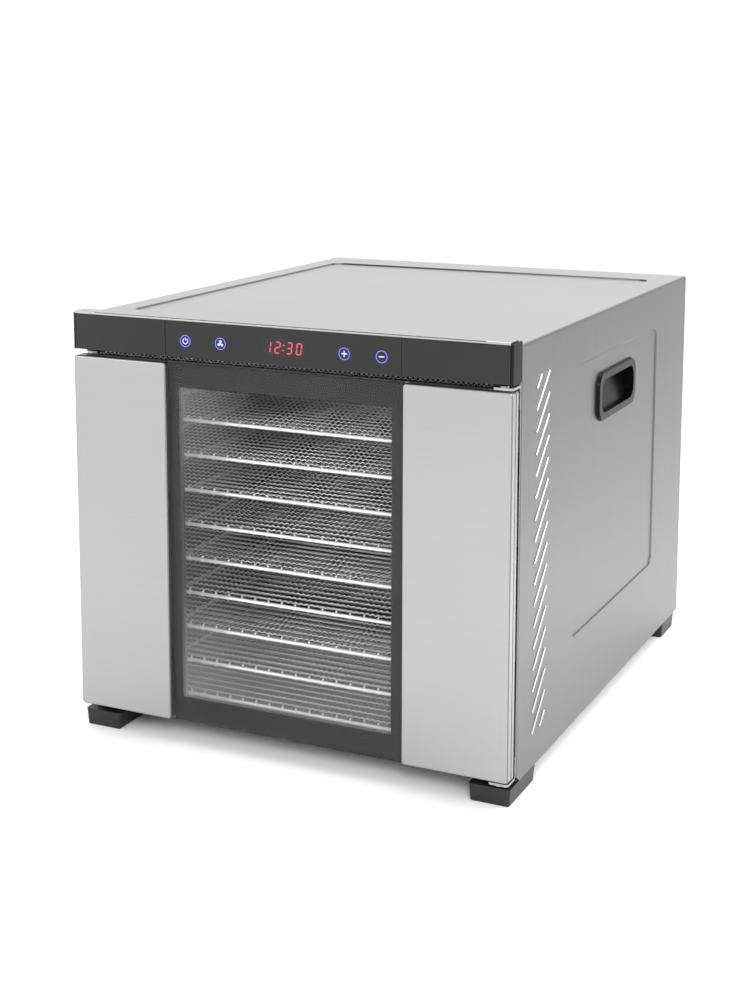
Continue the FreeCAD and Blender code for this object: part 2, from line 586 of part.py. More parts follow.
def fan_motor():
    """Motor case: a mounting flange, a round drum, a bearing boss and a running bore for the shaft."""
    y0, y1 = MOTOR_Y
    flange = cylinder(44, V(0, y0, FAN_Z), V(0, y0 + 2, FAN_Z))
    drum = cylinder(34, V(0, y0, FAN_Z), V(0, y1 - 4, FAN_Z))
    boss = cylinder(12, V(0, y1 - 5, FAN_Z), V(0, y1, FAN_Z))
    bore = cylinder(SHAFT_RADIUS + 0.05, V(0, y0 - 1, FAN_Z), V(0, y1 - 1.5, FAN_Z))
    return fuse([flange, drum, boss]).cut(bore)


def heating_element():
    """Rod heater bent round the fan, its ends turned back through the rear wall."""
    ends = [V(side * HEATER_END_X, HEATER_Y, HEATER_END_Z) for side in (-1, 1)]
    loop = Part.Wire([Part.Arc(ends[0], V(0, HEATER_Y, FAN_Z + HEATER_RADIUS), ends[1]).toShape()])
    away = V(math.cos(HEATER_HALF_GAP), 0, -math.sin(HEATER_HALF_GAP))
    profile = Part.Wire([Part.makeCircle(HEATER_ROD, ends[0], away)])
    ring_part = loop.makePipeShell([profile], True, False)
    knees = [Part.makeSphere(HEATER_ROD, end) for end in ends]
    legs = [cylinder(HEATER_ROD, end, V(end.x, CHAMBER_BACK_Y + 9, end.z)) for end in ends]
    return fuse([ring_part] + knees + legs)


def temperature_probe():
    """Sensor stalk in the fan space, high on the right."""
    y = CHAMBER_BACK_Y - 0.1
    end = V(PROBE_X, y, PROBE_Z)
    stalk = cylinder(2.0, V(PROBE_X, BAFFLE_Y + 6, PROBE_Z), end)
    return fuse([stalk, cylinder(5.0, V(PROBE_X, y - 3, PROBE_Z), end)])


def thermal_cutout():
    """Safety thermostat on the back of the rear wall."""
    y = CHAMBER_BACK_Y + SHEET + 0.1
    can = cylinder(8.0, V(CUTOUT_X, y, CUTOUT_Z), V(CUTOUT_X, y + 5, CUTOUT_Z))
    tabs = [box(x - 0.4, x + 0.4, y + 5, y + 13, CUTOUT_Z - 3, CUTOUT_Z + 3)
            for x in (CUTOUT_X - 4, CUTOUT_X + 4)]
    return fuse([can] + tabs)


def power_board():
    """Power board in the rear space."""
    return box(BOARD[0], BOARD[1], BOARD_Y, BOARD_Y + BOARD_SHEET, BOARD[2], BOARD[3])


def board_components():
    """Relay, transformer, capacitor and connector on the power board."""
    y = BOARD_Y + BOARD_SHEET + 0.05
    return group([
        box(50, 69, y, y + 15, 50, 65), box(80, 108, y, y + 17, 52, 80), box(118, 140, y, y + 9, 96, 108),
        cylinder(6, V(128, y, 62), V(128, y + 16, 62)), cylinder(5, V(60, y, 96), V(60, y + 13, 96)),
    ])


def board_spacers():
    """Posts between the power board and the rear wall."""
    y = CHAMBER_BACK_Y + SHEET + 0.05
    return group([cylinder(3.0, V(x, y, z), V(x, BOARD_Y - 0.05, z)) for x in (46, 144) for z in (45, 112)])


def power_inlet():
    """Recessed mains inlet with a snap-in flange and a hexagonal-cornered socket."""
    outline = (INLET_X - 15.4, INLET_X + 15.4, INLET_Z - 12, INLET_Z + 12)
    flange = rounded_slab("y", REAR - 3.15, INLET_MOUTH, *outline, 2)
    dx, dz = INLET_HALF_WIDTH, INLET_HALF_HEIGHT
    body = box(INLET_X - dx, INLET_X + dx, REAR - 23, REAR - 3.1, INLET_Z - dz, INLET_Z + dz)
    w, h, cut = 12.2, 8.2, 4.0
    outline = [(-w, -h), (w, -h), (w, h - cut), (w - cut, h), (cut - w, h), (-w, h - cut)]
    corners = [V(INLET_X + dx, REAR - 20, INLET_Z + dz) for dx, dz in outline]
    socket = Part.Face(Part.makePolygon(corners + corners[:1])).extrude(V(0, 25, 0))
    return fuse([flange, body]).cut(socket)


def inlet_pins():
    """The inlet's three flat pins."""
    middles = [(INLET_X + dx, INLET_Z + dz) for dx, dz in ((-7, -2), (0, 2), (7, -2))]
    return group([box(x - 1, x + 1, REAR - 19.95, REAR - 8, z - 2, z + 2) for x, z in middles])


def arc_path(points, radius):
    """Straight runs joined by tangent arcs of one radius, as a wire."""
    edges, here = [], points[0]
    for before, corner, after in zip(points, points[1:], points[2:]):
        a, b = before.sub(corner).normalize(), after.sub(corner).normalize()
        half_turn = (math.pi - a.getAngle(b)) / 2
        reach = radius * math.tan(half_turn)
        start, end = corner.add(V(a).multiply(reach)), corner.add(V(b).multiply(reach))
        bisector = a.add(b).normalize()
        middle = corner.add(V(bisector).multiply(radius / math.cos(half_turn) - radius))
        edges += [Part.LineSegment(here, start).toShape(), Part.Arc(start, middle, end).toShape()]
        here = end
    edges.append(Part.LineSegment(here, points[-1]).toShape())
    return Part.Wire(edges)


def tube(points, bend, radius):
    """Round lead along the points."""
    path = arc_path(points, bend)
    profile = Part.Wire([Part.makeCircle(radius, points[0], points[1].sub(points[0]))])
    return path.makePipeShell([profile], True, False)


def wiring():
    """Leads from the power board to the display board and from the inlet to the power board."""
    y = BOARD_Y + 8
    control = [V(129, y, 108.2), V(129, y, 150), V(CABLE_X, y, 190), V(CABLE_X, y, CABLE_Z),
               V(CABLE_X, FRONT + 10.8, CABLE_Z)]
    y = REAR - 14
    start = V(INLET_X + INLET_HALF_WIDTH + 0.2, y, INLET_Z)
    mains = [start, V(-60, y, INLET_Z), V(0, y, 30), V(90, y, 30), V(94, y, 51.3)]
    return group([tube(control, 18, CABLE_RADIUS), tube(mains, 9, CABLE_RADIUS)])


# ---- door ----
def stile():
    """Right-hand steel cover of the door: a shallow box with rounded edges, open at the back."""
    skin = box(STILE_INNER, HALF, FRONT, FRONT + SKIN_DEPTH, DOOR_BOTTOM, DOOR_TOP)
    corners = edges_along(skin, V(0, 1, 0), lambda m: True)
    skin = skin.makeFillet(3.0, corners)
    front = [e for e in skin.Edges if e.BoundBox.YMax < FRONT + 0.01]
    skin = skin.makeFillet(1.8, front)
    low, high = DOOR_BOTTOM + SKIN, DOOR_TOP - SKIN
    hollow = box(STILE_INNER + SKIN, HALF - SKIN, FRONT + SKIN, FRONT + 20, low, high)
    hollow = hollow.makeFillet(2.2, edges_along(hollow, V(0, 1, 0), lambda m: True))
    inside = [e for e in hollow.Edges if e.BoundBox.YMax < FRONT + SKIN + 0.01]
    return skin.cut(hollow.makeFillet(1.0, inside))


def pin_holes():
    """Cutters for the hinge pins through the door's top and bottom edges."""
    middles = [V(PIVOT.x, PIVOT.y, z) for z in (DOOR_BOTTOM, DOOR_TOP)]
    return [cylinder(4.0, m.sub(V(0, 0, 6)), m.add(V(0, 0, 6))) for m in middles]


def door_pan():
    """Steel back of the door: flat plate with a rim, a groove round its edge and the window opening."""
    y0, y1 = FRONT + SKIN_DEPTH + 0.05, FRONT + DOOR_DEPTH
    pan = box(-HALF, HALF, y0 + 1.5, y1, DOOR_BOTTOM, DOOR_TOP)
    pan = pan.makeFillet(2.5, edges_along(pan, V(0, 1, 0), lambda m: True))
    rear = [e for e in pan.Edges if e.BoundBox.YMin > y1 - 0.01]
    pan = pan.makeFillet(1.6, rear)
    neck = box(-HALF + 1.5, HALF - 1.5, y0, y0 + 2, DOOR_BOTTOM + 1.5, DOOR_TOP - 1.5)
    hollow = box(-HALF + 2.5, HALF - 2.5, y0 - 1, y1 - SHEET, DOOR_BOTTOM + 2.5, DOOR_TOP - 2.5)
    window = rounded_slab("y", y0 - 1, y1 + 1, -111, 111, 41, 342, 4)
    return fuse([pan, neck]).cut([hollow, window] + pin_holes())


def window_frame():
    """Moulded frame behind the glass, inside the door's steel back."""
    y0, y1 = GLASS_BACK + GLASS_SEAT, FRONT + DOOR_DEPTH - SHEET - 0.05
    outer = (-STILE_INNER, STILE_INNER, DOOR_BOTTOM + 2.6, DOOR_TOP - 2.6)
    window = (-WINDOW_HALF - 2, WINDOW_HALF + 2, WINDOW_BOTTOM - 2, WINDOW_TOP + 2)
    return ring("y", y0, y1, outer, window, 2, 3)


def door_glass():
    """Glass pane between the two stiles, set back from their faces."""
    glass = box(-GLASS_HALF, GLASS_HALF, GLASS_FRONT, GLASS_BACK, DOOR_BOTTOM + 0.2, DOOR_TOP - 0.2)
    return glass.makeChamfer(0.5, [e for e in glass.Edges if e.BoundBox.YMax < GLASS_FRONT + 0.01])


def door_gasket():
    """Silicone seal on the door's back, just clear of the frame when closed."""
    outer, inner = (-202.6, 202.6, 24.6, 356.5), (-197, 197, 29.2, 352.3)
    seal = ring("y", FRONT + DOOR_DEPTH + 0.02, FRAME_Y - 0.3, outer, inner, 6, 3)
    lip = [e for e in seal.Edges if e.BoundBox.YMin > FRAME_Y - 0.31]
    return seal.makeFillet(1.2, lip)


def hinge_bush(low):
    """Plastic bearing block inside the door for one hinge pin, from height low up."""
    block = box(PIVOT.x - 5.8, PIVOT.x + 5.8, FRONT + 1.0, FRONT + 13.3, low, low + 13)
    bore = cylinder(PIN_RADIUS + PIN_CLEARANCE, V(PIVOT.x, PIVOT.y, low - 1), V(PIVOT.x, PIVOT.y, low + 14))
    return block.cut(bore)


def hinge_bracket(top):
    """Angle on the case front with a tongue over or under the door. top is True for the upper one."""
    z0 = DOOR_TOP + 1.0 if top else DOOR_BOTTOM - 3.0
    tongue = rounded_slab("z", z0, z0 + 2, 196, 214.4, FRONT + 1.8, CASE_FRONT - 0.05, 3)
    span = (z0 - 18, z0 + 2) if top else (z0, z0 + 20)
    tab = box(206.8, 213.8, CASE_FRONT - 1.4, CASE_FRONT - 0.05, *span)
    hole = cylinder(PIN_RADIUS + 0.02, V(PIVOT.x, PIVOT.y, z0 - 1), V(PIVOT.x, PIVOT.y, z0 + 3))
    return fuse([tongue, tab]).cut(hole)


def hinge_pin(top):
    """Riveted pin with a flat head outside the bracket."""
    z0 = DOOR_TOP + 1.0 if top else DOOR_BOTTOM - 3.0
    if top:
        shank, head = (z0 - 11.5, z0 + 2.1), (z0 + 2.1, z0 + 3.0)
    else:
        shank, head = (z0 - 0.1, z0 + 13.5), (z0 - 1.0, z0 - 0.1)
    ends = [cylinder(r, V(PIVOT.x, PIVOT.y, a), V(PIVOT.x, PIVOT.y, b)) for r, (a, b) in
            ((PIN_RADIUS, shank), (4.0, head))]
    return fuse(ends)


def door_magnets():
    """Catch magnets in the case front, on the free side of the door."""
    return group([box(-213, -205.5, CASE_FRONT - 5.0, CASE_FRONT - 0.05, z - 16, z + 16) for z in MAGNET_Z])


def strike_plates():
    """Steel strikes on the door's back that meet the magnets."""
    return group([box(-212.6, -206, FRONT + DOOR_DEPTH + 0.02, FRONT + DOOR_DEPTH + 1.2, z - 14, z + 14)
                  for z in MAGNET_Z])


def rear_screws():
    """Pan-head screws round the rear panel."""
    return group([screw(V(x, REAR - 3.15, z), V(0, -1, 0), radius=3.2, thread=1.6, length=5.0, head=1.8)
                  for x, z in REAR_SCREWS])


def all_parts():
    """Every sub-part by node name."""
    parts = {
        "outer_shell": outer_shell(),
        "base_pan": base_pan(),
        "rear_panel": rear_panel(),
        "front_frame": front_frame(),
        "vent_grille": vent_grille(),
        "feet_front": feet(FRONT + 6, FRONT + 70),
        "feet_rear": feet(FRONT + 482, FRONT + 530),
        "foot_screws": foot_screws(),
        "rear_screws": rear_screws(),
        "side_handle_right": side_handle(),
        "side_handle_left": mirrored(side_handle()),
        "control_fascia": control_fascia(),
        "touch_panel": touch_panel(),
        "fascia_caps": fascia_caps(),
        "display_board": display_board(),
        "display_module": display_module(),
        "chamber_wall_right": chamber_side(),
        "chamber_wall_left": mirrored(chamber_side()),
        "chamber_floor": chamber_floor(),
        "chamber_ceiling": chamber_ceiling(),
        "chamber_back": chamber_back(),
        "air_baffle": air_baffle(),
        "tray_rack_right": tray_rack(),
        "tray_rack_left": mirrored(tray_rack()),
        "fan_impeller": impeller(),
        "motor_shaft": motor_shaft(),
        "hub_nut": hub_nut(),
        "fan_motor": fan_motor(),
        "heating_element": heating_element(),
        "temperature_probe": temperature_probe(),
        "thermal_cutout": thermal_cutout(),
        "power_board": power_board(),
        "board_components": board_components(),
        "board_spacers": board_spacers(),
        "power_inlet": power_inlet(),
        "inlet_pins": inlet_pins(),
        "wiring": wiring(),
        "hinge_bracket_upper": hinge_bracket(True),
        "hinge_bracket_lower": hinge_bracket(False),
        "hinge_pins": group([hinge_pin(True), hinge_pin(False)]),
        "door_magnets": door_magnets(),
        "door_stile_right": stile().cut(pin_holes()),
        "door_stile_left": mirrored(stile()),
        "door_pan": door_pan(),
        "window_frame": window_frame(),
        "door_glass": door_glass(),
        "door_gasket": door_gasket(),
        "strike_plates": strike_plates(),
        "hinge_bushes": group([hinge_bush(DOOR_BOTTOM + 2.6), hinge_bush(DOOR_TOP - 2.6 - 13)]),
    }
    parts.update(trays())
    return parts


def main():
    os.makedirs("parts", exist_ok=True)
    for name, shape in all_parts().items():
        solids = shape.Solids
        if not solids or not shape.isValid():
            raise SystemExit(f"{name} isn't a valid solid")
        shape.exportStep(f"parts/{name}.step")
        print(f"{name}: {len(solids)} solid(s), {sum(s.Volume for s in solids) / 1000:.1f} cm3")


main()
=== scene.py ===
"""Looks for the cabinet food dehydrator: materials, woven trays, display, printed border, lights and camera.

Everything is in metres in the part's own frame: +Z up, -Y out of the door side, +X to the user's right.
"""

import bpy
import bmesh
import math
from mathutils import Matrix, Vector


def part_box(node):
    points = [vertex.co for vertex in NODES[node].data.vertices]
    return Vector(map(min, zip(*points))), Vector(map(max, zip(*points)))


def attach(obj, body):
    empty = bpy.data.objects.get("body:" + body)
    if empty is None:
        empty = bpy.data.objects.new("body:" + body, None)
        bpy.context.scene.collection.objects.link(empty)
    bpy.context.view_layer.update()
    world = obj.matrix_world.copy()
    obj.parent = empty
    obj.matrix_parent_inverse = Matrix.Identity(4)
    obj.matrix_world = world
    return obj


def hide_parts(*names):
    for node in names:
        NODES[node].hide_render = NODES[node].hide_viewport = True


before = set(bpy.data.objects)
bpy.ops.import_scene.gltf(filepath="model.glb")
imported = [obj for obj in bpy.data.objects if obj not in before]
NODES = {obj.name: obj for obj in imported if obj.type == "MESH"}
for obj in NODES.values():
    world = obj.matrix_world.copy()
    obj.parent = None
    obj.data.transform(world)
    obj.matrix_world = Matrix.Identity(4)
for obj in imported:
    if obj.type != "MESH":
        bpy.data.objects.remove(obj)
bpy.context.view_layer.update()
MM = 0.001

WINDOW_HALF = 104 * MM        # clear part of the glass
WINDOW_LOW, WINDOW_HIGH = 47 * MM, 336 * MM
CASE_HALF = 215 * MM          # flat of a side
LID_TOP = 395 * MM            # flat of the lid
LID_PANEL_HALF = 190.5 * MM   # half the width of its pressed-in panel


# ---- small helpers ----
def link(name, mesh, material, body):
    """A piece from a mesh, with one material, on a body."""
    piece = bpy.data.objects.new(name, mesh)
    bpy.context.scene.collection.objects.link(piece)
    if material is not None:
        mesh.materials.append(material)
    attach(piece, body)
    return piece


def mesh_from(name, bm, smooth=True):
    """A finished mesh from a bmesh."""
    bmesh.ops.recalc_face_normals(bm, faces=bm.faces)
    mesh = bpy.data.meshes.new(name)
    bm.to_mesh(mesh)
    bm.free()
    for polygon in mesh.polygons:
        polygon.use_smooth = smooth
    return mesh


def add_tube(bm, points, radius, sides, closed=False, finish=0):
    """Round bar along a list of points, capped unless it is a closed loop. finish is its material's place."""
    count = len(points)
    rings = []
    for i, point in enumerate(points):
        before = points[i - 1] if closed or i > 0 else point
        after = points[(i + 1) % count] if closed or i < count - 1 else point
        along = (after - before).normalized()
        side = along.cross(Vector((0, 0, 1)))
        side = side.normalized() if side.length > 1e-6 else Vector((1, 0, 0))
        up = side.cross(along)
        ring = []
        for k in range(sides):
            turn = 2 * math.pi * (k + 0.5) / sides
            ring.append(bm.verts.new(point + radius * (math.cos(turn) * side + math.sin(turn) * up)))
        rings.append(ring)
    pairs = list(zip(rings, rings[1:])) + ([(rings[-1], rings[0])] if closed else [])
    for a, b in pairs:
        for k in range(sides):
            bm.faces.new((a[k], a[(k + 1) % sides], b[(k + 1) % sides], b[k])).material_index = finish
    if not closed:
        bm.faces.new(rings[0])
        bm.faces.new(rings[-1][::-1])


def add_plate(bm, outline, y_front, y_back):
    """Solid plate facing -Y from an outline of (x, z) points."""
    front = [bm.verts.new((x, y_front, z)) for x, z in outline]
    back = [bm.verts.new((x, y_back, z)) for x, z in outline]
    bm.faces.new(front)
    bm.faces.new(back[::-1])
    for k in range(len(outline)):
        n = (k + 1) % len(outline)
        bm.faces.new((front[k], back[k], back[n], front[n]))


def add_ring_plate(bm, outer, inner, y_front, y_back):
    """Solid flat ring facing -Y between two outlines with the same number of points."""
    loops = [[bm.verts.new((x, y, z)) for x, z in outline]
             for outline, y in ((outer, y_front), (inner, y_front), (inner, y_back), (outer, y_back))]
    for a, b in zip(loops, loops[1:] + loops[:1]):
        for k in range(len(a)):
            n = (k + 1) % len(a)
            bm.faces.new((a[k], a[n], b[n], b[k]))


def circle(x, z, radius, count=40, start=0.0, turn=2 * math.pi):
    """Points of a circle or, with a turn under a full one, of an arc with both its ends."""
    steps = count if turn >= 2 * math.pi else count - 1
    return [(x + radius * math.cos(start + turn * k / steps), z + radius * math.sin(start + turn * k / steps))
            for k in range(count)]


def rounded(x0, x1, z0, z1, radius, steps=6):
    """Rectangle with rounded corners as (x, z) points."""
    corners = ((x1 - radius, z1 - radius, 0), (x0 + radius, z1 - radius, 90),
               (x0 + radius, z0 + radius, 180), (x1 - radius, z0 + radius, 270))
    return [p for x, z, start in corners
            for p in circle(x, z, radius, steps, math.radians(start), math.pi / 2)]


# ---- materials ----
class Nodes:
    """A material's node tree, with short calls for the nodes that repeat."""

    def __init__(self, name):
        self.material = bpy.data.materials.new(name)
        self.material.use_nodes = True
        self.tree = self.material.node_tree
        self.tree.nodes.clear()
        self.output = self.add("ShaderNodeOutputMaterial")
        self.shader = self.add("ShaderNodeBsdfPrincipled")
        self.wire(self.shader.outputs["BSDF"], self.output.inputs["Surface"])
        self.place = self.add("ShaderNodeTexCoord").outputs["Object"]

    def add(self, kind, **values):
        """A node, with its properties set."""
        node = self.tree.nodes.new(kind)
        for key, value in values.items():
            setattr(node, key, value)
        return node

    def wire(self, a, b):
        """Links an output to an input."""
        self.tree.links.new(a, b)

    def set(self, **values):
        """Sets the shader's own sockets; underscores in the names stand for spaces."""
        for key, value in values.items():
            self.shader.inputs[key.replace("_", " ")].default_value = value

    def noise(self, scale, stretch=(1, 1, 1), detail=3.0, roughness=0.55):
        """Noise in object space, stretched per axis."""
        mapping = self.add("ShaderNodeMapping")
        mapping.inputs["Scale"].default_value = stretch
        self.wire(self.place, mapping.inputs["Vector"])
        noise = self.add("ShaderNodeTexNoise")
        noise.inputs["Scale"].default_value = scale
        noise.inputs["Detail"].default_value = detail
        noise.inputs["Roughness"].default_value = roughness
        self.wire(mapping.outputs["Vector"], noise.inputs["Vector"])
        return noise.outputs["Fac"]

    def spread(self, source, low, high, start=0.3, end=0.7):
        """source's range from start to end becomes low to high."""
        node = self.add("ShaderNodeMapRange")
        node.inputs["From Min"].default_value = start
        node.inputs["From Max"].default_value = end
        node.inputs["To Min"].default_value = low
        node.inputs["To Max"].default_value = high
        self.wire(source, node.inputs["Value"])
        return node.outputs["Result"]

    def mix(self, factor, a, b):
        """Colour between a and b by factor."""
        node = self.add("ShaderNodeMix", data_type="RGBA")
        self.wire(factor, node.inputs["Factor"])
        for value, socket in ((a, node.inputs[6]), (b, node.inputs[7])):
            if isinstance(value, bpy.types.NodeSocket):
                self.wire(value, socket)
            else:
                socket.default_value = (*value, 1)
        return node.outputs[2]

    def join(self, operation, a, b=None):
        """One or two values through a math node."""
        node = self.add("ShaderNodeMath", operation=operation)
        self.wire(a, node.inputs[0])
        if b is not None:
            self.wire(b, node.inputs[1])
        return node.outputs[0]

    def bump(self, height, strength, distance):
        """Bump from height onto the shader's normal."""
        node = self.add("ShaderNodeBump")
        node.inputs["Strength"].default_value = strength
        node.inputs["Distance"].default_value = distance
        self.wire(height, node.inputs["Height"])
        self.wire(node.outputs["Normal"], self.shader.inputs["Normal"])


def grey(level, warm=0.0):
    """Neutral colour, a little warmer or cooler."""
    return (level * (1 + warm), level, level * (1 - warm))


def brushed(name, level, across, roughness=(0.30, 0.33), contrast=0.02, sides=None):
    """Brushed steel. across is the axis that the brush lines are stacked along: x, y or z.
    sides is a darker level for faces that look left or right, where the sheet's grain runs up and down:
    painted shade on the side sheets.
    Bends, which face between the axes, get painted shade, and a painted highlight where they stand out from
    the case.
    The forward wall of the lid's pressed-in panel gets painted shade."""
    m = Nodes(name)
    fine = {"x": (2000, 4, 4), "y": (4, 2000, 4), "z": (4, 4, 2000)}[across]
    broad = tuple(v * 0.1 for v in fine)
    lines = m.noise(1.0, fine, detail=2.0)
    bands = m.noise(1.0, broad, detail=3.0)
    clouds = m.noise(3.5, detail=2.0)
    tone = m.mix(m.spread(lines, 0, 1), grey(level * (1 - contrast)), grey(level * (1 + contrast)))
    split = m.add("ShaderNodeSeparateXYZ")
    m.wire(m.add("ShaderNodeTexCoord").outputs["Normal"], split.inputs["Vector"])
    facing = [m.join("ABSOLUTE", split.outputs[axis]) for axis in "XYZ"]
    # faces that look left or right take the darker sides level: painted shade
    if sides is not None:
        side_shade_tone = m.mix(m.spread(lines, 0, 1), grey(sides * (1 - contrast)), grey(sides * (1 + contrast)))
        tone = m.mix(m.spread(facing[0], 0, 1, 0.6, 0.95), tone, side_shade_tone)
    most = m.join("MAXIMUM", m.join("MAXIMUM", facing[0], facing[1]), facing[2])
    place = m.add("ShaderNodeSeparateXYZ")
    m.wire(m.place, place.inputs["Vector"])
    wide = m.join("ABSOLUTE", place.outputs["X"])
    proud = m.spread(wide, 0, 1, CASE_HALF + 0.1 * MM, CASE_HALF + 0.5 * MM)
    raised = m.spread(place.outputs["Z"], 0, 0.5, LID_TOP + 0.2 * MM, LID_TOP + 3.5 * MM)
    outside = m.join("MAXIMUM", proud, raised)
    # painted shade in the bends, and a near-white painted highlight on bends that stand out from the case,
    # such as the louvre hoods
    rim = m.mix(outside, grey(level * 0.12), grey(0.92))
    tone = m.mix(m.spread(most, 0.6, 0, 0.80, 0.985), tone, rim)
    # painted shade: the lid panel's forward-facing wall is made near black
    forward = m.join("MULTIPLY", m.spread(split.outputs["Y"], 1, 0, -0.2, -0.1),
                     m.spread(place.outputs["Z"], 0, 1, LID_TOP - 3.5 * MM, LID_TOP - 2.5 * MM))
    forward = m.join("MULTIPLY", forward, m.spread(wide, 1, 0, LID_PANEL_HALF, LID_PANEL_HALF + 1.5 * MM))
    forward = m.join("MULTIPLY", forward, m.spread(most, 1, 0, 0.90, 0.985))
    tone = m.mix(forward, tone, grey(0.055))
    drift = m.mix(m.spread(clouds, 0, 1), grey(0.95), grey(1.0))
    both = m.add("ShaderNodeMix", data_type="RGBA", blend_type="MULTIPLY")
    both.inputs["Factor"].default_value = 1.0
    m.wire(tone, both.inputs[6])
    m.wire(drift, both.inputs[7])
    m.wire(both.outputs[2], m.shader.inputs["Base Color"])
    m.wire(m.spread(bands, *roughness), m.shader.inputs["Roughness"])
    m.set(Metallic=1.0)
    m.bump(lines, 0.03, 0.00002)
    return m.material


def plain_metal(name, level, roughness, warm=0.0, grain=500.0, metallic=1.0):
    """Steel with a fine mottled finish."""
    m = Nodes(name)
    fine = m.noise(grain, detail=2.0)
    clouds = m.noise(18.0, detail=3.0)
    m.wire(m.mix(m.spread(clouds, 0, 1), grey(level * 0.9, warm), grey(level * 1.06, warm)),
           m.shader.inputs["Base Color"])
    m.wire(m.spread(fine, roughness * 0.85, roughness * 1.15), m.shader.inputs["Roughness"])
    m.set(Metallic=metallic)
    m.bump(fine, 0.08, 0.00004)
    return m.material


def plastic(name, colour, roughness, grain=1400.0, texture=0.25, depth=0.00005, specular=0.5):
    """Moulded plastic with a fine grain."""
    m = Nodes(name)
    fine = m.noise(grain, detail=2.0)
    clouds = m.noise(9.0, detail=2.0)
    dark, light = (tuple(c * k for c in colour) for k in (0.88, 1.08))
    m.wire(m.mix(m.spread(clouds, 0, 1), dark, light), m.shader.inputs["Base Color"])
    m.wire(m.spread(fine, roughness * 0.9, roughness * 1.1), m.shader.inputs["Roughness"])
    m.set(Specular_IOR_Level=specular)
    m.bump(fine, texture, depth)
    return m.material


def glow(name, colour, strength):
    """Lit print or LED, a little uneven like a diffuser."""
    m = Nodes(name)
    clouds = m.noise(900.0, detail=1.0)
    dark, light = (tuple(c * k for c in colour) for k in (0.85, 1.0))
    lit = m.mix(m.spread(clouds, 0, 1), dark, light)
    m.wire(lit, m.shader.inputs["Base Color"])
    m.wire(lit, m.shader.inputs["Emission Color"])
    m.set(Emission_Strength=strength, Roughness=0.4)
    return m.material


def pane():
    """Clear glass as a see-through sheet with a mirror sheen, so that light reaches the trays.
    Inside the printed border the sheen grows a little towards the left, the top left and the bottom."""
    m = Nodes("door_glass_clear")
    clear = m.add("ShaderNodeBsdfTransparent")
    clear.inputs["Color"].default_value = (0.965, 0.965, 0.965, 1)
    mirror = m.add("ShaderNodeBsdfAnisotropic")
    sheen = m.add("ShaderNodeFresnel")
    sheen.inputs["IOR"].default_value = 1.14
    split = m.add("ShaderNodeSeparateXYZ")
    m.wire(m.place, split.inputs["Vector"])
    x, z = split.outputs["X"], split.outputs["Z"]
    left = m.spread(x, 0.024, 0.0, -WINDOW_HALF, -30 * MM)
    low = m.spread(z, 0.080, 0.0, WINDOW_LOW, 150 * MM)
    corner = m.join("MULTIPLY", m.spread(x, 0.050, 0.0, -WINDOW_HALF, -20 * MM),
                    m.spread(z, 0.0, 1.0, 235 * MM, WINDOW_HIGH))
    veil = m.join("ADD", m.join("ADD", left, low), corner)
    edge = 0.3 * MM
    across = m.spread(m.join("ABSOLUTE", x), 1, 0, WINDOW_HALF, WINDOW_HALF + edge)
    above = m.spread(z, 0, 1, WINDOW_LOW - edge, WINDOW_LOW)
    below = m.spread(z, 1, 0, WINDOW_HIGH, WINDOW_HIGH + edge)
    veil = m.join("MULTIPLY", veil, m.join("MULTIPLY", across, m.join("MULTIPLY", above, below)))
    gloss = m.add("ShaderNodeMixShader")
    m.wire(m.join("ADD", sheen.outputs["Fac"], veil), gloss.inputs["Fac"])
    m.wire(clear.outputs["BSDF"], gloss.inputs[1])
    m.wire(mirror.outputs["BSDF"], gloss.inputs[2])
    m.wire(m.spread(m.noise(14.0), 0.02, 0.05), mirror.inputs["Roughness"])
    m.wire(gloss.outputs["Shader"], m.output.inputs["Surface"])
    return m.material


def smoked():
    """Black gloss of the fascia."""
    m = Nodes("fascia_gloss")
    dust = m.noise(6.0, detail=4.0)
    m.wire(m.mix(m.spread(dust, 0, 1), grey(0.012), grey(0.016)), m.shader.inputs["Base Color"])
    m.wire(m.spread(dust, 0.30, 0.36), m.shader.inputs["Roughness"])
    m.set(Specular_IOR_Level=0.28)
    m.bump(m.noise(700.0, detail=1.0), 0.03, 0.00002)
    return m.material


# sides=0.155 makes the left and right faces darker than the lid: painted shade
CASE = brushed("case_brushed", 0.40, "y", sides=0.155)
CASE_REAR = brushed("rear_brushed", 0.48, "z")
DOOR_STEEL = brushed("door_brushed", 0.375, "z", roughness=(0.33, 0.38))
# the chamber's steel is made much darker than bare steel: painted shade inside the cabinet behind the trays
SHADED_INNER = plain_metal("inner_steel", 0.17, 0.42)
# the tray wire steel is made near white: partly the wire's bright finish, partly painted highlight on the
# crimped wires and vent strands
WIRE = plain_metal("tray_wire", 0.95, 0.22, grain=900.0, metallic=0.35)
# the long wires' steel is the same wire made near black: painted shade in the gaps of the mesh
SHADED_LONG_WIRE = plain_metal("tray_long_wire_shaded", 0.09, 0.35, grain=900.0)
ZINC = plain_metal("zinc_steel", 0.40, 0.36)
HEATER = plain_metal("heater_tube", 0.26, 0.45, warm=0.05)
MOTOR = plastic("motor_paint", (0.10, 0.105, 0.11), 0.45)
ALUMINIUM = plain_metal("fan_aluminium", 0.72, 0.30)
BLACK = plastic("black_plastic", (0.012, 0.012, 0.013), 0.42, specular=0.35)
GRIP = plastic("grip_plastic", (0.003, 0.003, 0.0033), 0.28, texture=0.10, specular=0.10)
CAP = plastic("cap_plastic", (0.008, 0.008, 0.009), 0.45, specular=0.12)
DARK = plastic("window_frame_plastic", (0.030, 0.030, 0.031), 0.45)
WHITE = plastic("white_plastic", (0.78, 0.78, 0.76), 0.42)
GASKET = plastic("gasket_silicone", (0.20, 0.20, 0.205), 0.55)
GREEN = plastic("board_lacquer", (0.03, 0.17, 0.07), 0.30)
BRASS = plain_metal("pin_brass", 0.66, 0.28, warm=0.25)
GLOSS = smoked()
GLASS = pane()
BORDER = plastic("glass_print", (0.037, 0.036, 0.036), 0.55, texture=0.02, specular=0.1)

